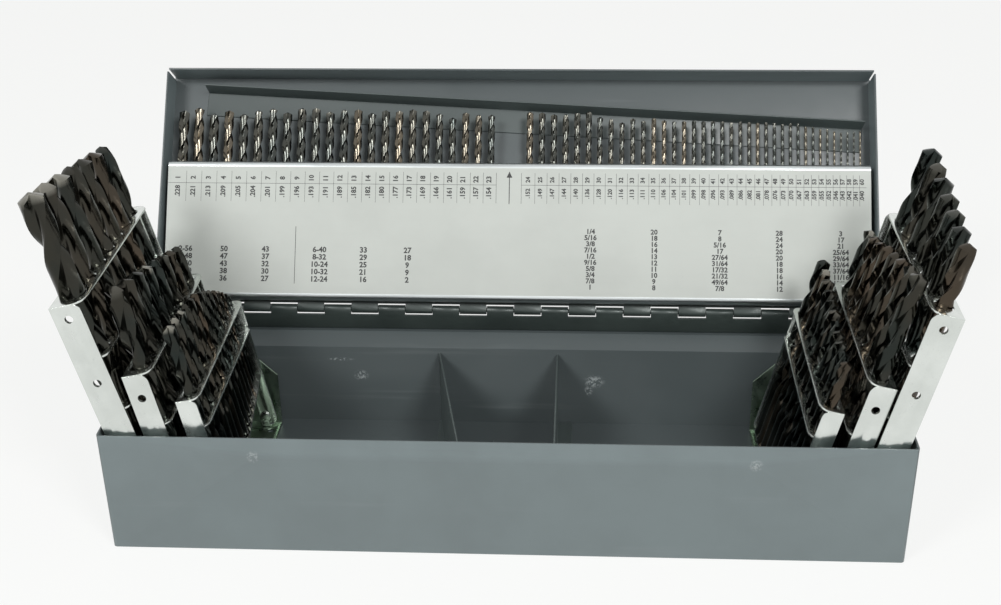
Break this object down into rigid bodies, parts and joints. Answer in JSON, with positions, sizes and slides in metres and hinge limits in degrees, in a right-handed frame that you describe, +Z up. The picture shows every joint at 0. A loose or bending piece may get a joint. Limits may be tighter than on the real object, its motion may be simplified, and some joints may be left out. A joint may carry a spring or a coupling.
{
  "type": "drill index case",
  "caption": "Open sheet-steel drill case: folding holed leaves of twist drills at both ends, dividers, and a hinged lid with a tilting rack of fine drills.",
  "frame": {"origin": "middle of the case's underside", "axes": "+X to the right seen from the front, +Y to the hinge at the back, +Z up"},
  "size_m": [0.4256, 0.2079, 0.1837],
  "materials": {
    "blue_paint": "semi-gloss enamel",
    "bright_zinc": "bright zinc plate",
    "printed_plate": "silver with printed index",
    "black_oxide": "black oxide",
    "bright_drill": "ground steel"
  },
  "bodies": {
    "case": {"base_tray": "blue_paint", "left_bracket": "bright_zinc", "right_bracket": "bright_zinc", "left_divider": "blue_paint", "right_divider": "blue_paint", "hinge_base_leaf": "bright_zinc", "hinge_pin": "bright_zinc", "left_rivets": "bright_zinc", "right_rivets": "bright_zinc"},
    "lid": {"lid_shell": "blue_paint", "hinge_lid_leaf": "bright_zinc", "retainer_strip": "blue_paint", "rack_pins": "bright_zinc"},
    "number_rack": {"rack_face": "printed_plate", "rack_rest": "bright_zinc", "number_drills_coarse": "bright_drill", "number_drills_fine": "bright_drill"},
    "left_outer": {"left_outer_leaf": "bright_zinc", "left_outer_guides": "bright_zinc", "left_outer_drill_1": "black_oxide", "left_outer_drill_2": "black_oxide", "left_outer_drill_3": "black_oxide", "left_outer_drill_4": "black_oxide", "left_outer_drill_5": "black_oxide", "left_outer_drill_6": "black_oxide", "left_outer_drill_7": "black_oxide"},
    "left_middle": {"left_middle_leaf": "bright_zinc", "left_middle_guides": "bright_zinc", "left_middle_drills": "black_oxide"},
    "left_inner": {"left_inner_leaf": "bright_zinc", "left_inner_guides": "bright_zinc", "left_inner_drills": "black_oxide"},
    "right_outer": {"right_outer_leaf": "bright_zinc", "right_outer_guides": "bright_zinc", "right_outer_drill_1": "black_oxide", "right_outer_drill_2": "black_oxide", "right_outer_drill_3": "black_oxide", "right_outer_drill_4": "black_oxide", "right_outer_drill_5": "black_oxide", "right_outer_drill_6": "black_oxide", "right_outer_drill_7": "black_oxide"},
    "right_middle": {"right_middle_leaf": "bright_zinc", "right_middle_guides": "bright_zinc", "right_middle_drills": "black_oxide"},
    "right_inner": {"right_inner_leaf": "bright_zinc", "right_inner_guides": "bright_zinc", "right_inner_drills": "black_oxide"}
  },
  "joints": [
    {"name": "lid_hinge", "type": "hinge", "parent": "case", "child": "lid", "pos_m": [0, 0.06505, 0.0657], "axis": [1, 0, 0], "range_deg": [0, 20]},
    {"name": "number_rack_tilt", "type": "hinge", "parent": "lid", "child": "number_rack", "pos_m": [0, 0.06285, 0.07603], "axis": [1, 0, 0], "range_deg": [0, 17]},
    {"name": "left_outer_fold", "type": "hinge", "parent": "case", "child": "left_outer", "pos_m": [-0.1763, 0, 0.0385], "axis": [0, 1, 0], "range_deg": [0, 102]},
    {"name": "left_middle_fold", "type": "hinge", "parent": "case", "child": "left_middle", "pos_m": [-0.158, 0, 0.0225], "axis": [0, 1, 0], "range_deg": [0, 99.5]},
    {"name": "left_inner_fold", "type": "hinge", "parent": "case", "child": "left_inner", "pos_m": [-0.1372, 0, 0.0086], "axis": [0, 1, 0], "range_deg": [0, 98.5]},
    {"name": "right_outer_fold", "type": "hinge", "parent": "case", "child": "right_outer", "pos_m": [0.1763, 0, 0.0385], "axis": [0, -1, 0], "range_deg": [0, 101.5]},
    {"name": "right_middle_fold", "type": "hinge", "parent": "case", "child": "right_middle", "pos_m": [0.158, 0, 0.0225], "axis": [0, -1, 0], "range_deg": [0, 101.5]},
    {"name": "right_inner_fold", "type": "hinge", "parent": "case", "child": "right_inner", "pos_m": [0.1372, 0, 0.0086], "axis": [0, -1, 0], "range_deg": [0, 101.5]}
  ],
  "couplings": [
    {"joint": "left_middle_fold", "follows": "left_outer_fold", "ratio": 0.97549},
    {"joint": "left_inner_fold", "follows": "left_outer_fold", "ratio": 0.96569},
    {"joint": "right_middle_fold", "follows": "right_outer_fold", "ratio": 1},
    {"joint": "right_inner_fold", "follows": "right_outer_fold", "ratio": 1}
  ]
}
